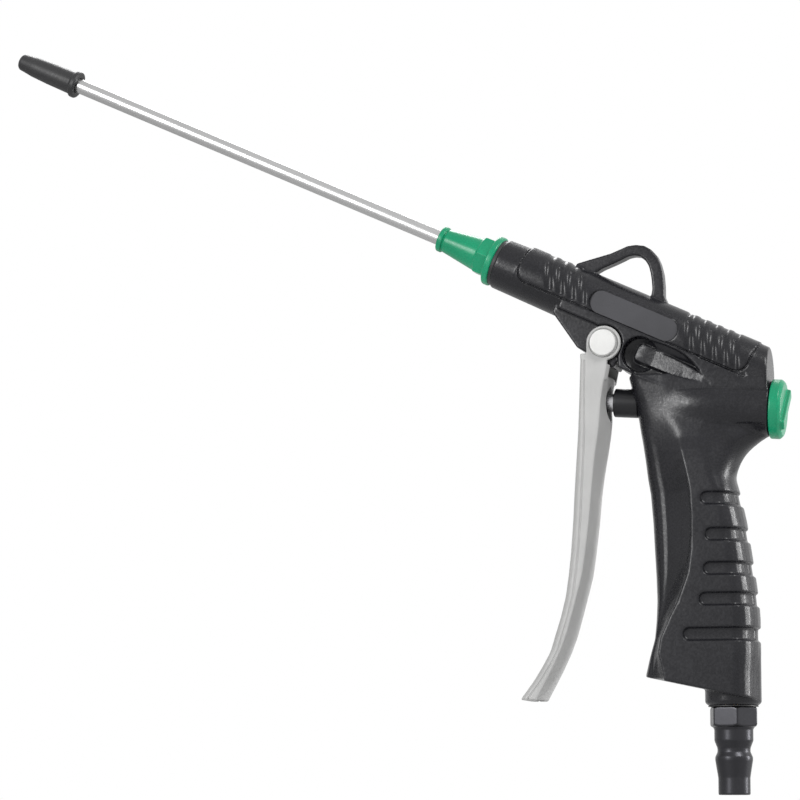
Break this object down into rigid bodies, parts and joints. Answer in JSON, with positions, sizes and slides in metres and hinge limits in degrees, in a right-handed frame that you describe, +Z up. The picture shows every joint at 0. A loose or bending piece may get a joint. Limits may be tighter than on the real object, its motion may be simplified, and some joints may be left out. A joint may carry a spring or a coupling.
{
  "type": "pneumatic air duster",
  "caption": "Pistol-grip compressed-air duster with a squeeze lever, a hanging loop, a long angled extension tube with a soft tip, and a quick-connect inlet plug under the grip.",
  "frame": {"origin": "centre of the open end of the inlet plug, on the inlet's axis", "axes": "+Z up the inlet's axis towards the grip and body, -X towards the nozzle, Y across the duster, with Y = 0 its middle plane"},
  "size_m": [0.2653, 0.0248, 0.2546],
  "materials": {
    "housing": "satin",
    "label": "satin",
    "green_trim": "satin",
    "lever_metal": "satin",
    "pin_metal": "satin",
    "black_nylon": "satin",
    "steel": "satin",
    "tube_metal": "satin",
    "plug_metal": "satin",
    "brass": "satin",
    "rubber": "matte"
  },
  "bodies": {
    "gun": {"body_housing": "housing", "side_labels": "label", "pivot_pin": "pin_metal", "pivot_clip": "steel", "stem_guide": "black_nylon", "guide_o_ring": "rubber", "stem_o_ring": "rubber", "valve_seat": "brass", "seat_o_ring": "rubber", "valve_spring": "steel", "rear_cap": "green_trim", "cap_o_ring": "rubber", "inlet_insert": "brass", "inlet_screen": "steel", "plug_washer": "rubber", "inlet_plug": "plug_metal", "outlet_insert": "brass", "nozzle_ring": "rubber", "nozzle_nut": "green_trim", "tube_collar": "brass", "extension_tube": "tube_metal", "nozzle_tip": "rubber"},
    "lever": {"lever": "lever_metal"},
    "plunger": {"push_button": "steel", "valve_stem": "steel", "valve_poppet": "brass", "poppet_seal": "rubber", "poppet_nut": "steel"}
  },
  "joints": [
    {"name": "lever_hinge", "type": "hinge", "parent": "gun", "child": "lever", "pos_m": [-0.03959, 0, 0.14542], "axis": [0, -1, 0], "range_deg": [0, 14], "stiffness_Nm_per_rad": 0.665, "springref_deg": -9.45},
    {"name": "plunger_slide", "type": "slide", "parent": "gun", "child": "plunger", "axis": [0.9976, 0, -0.0698], "range_m": [0, 0.00453], "deforming": ["valve_spring"]}
  ],
  "couplings": [
    {"joint": "plunger_slide", "follows": "lever_hinge", "m_per_rad": 0.0185}
  ]
}
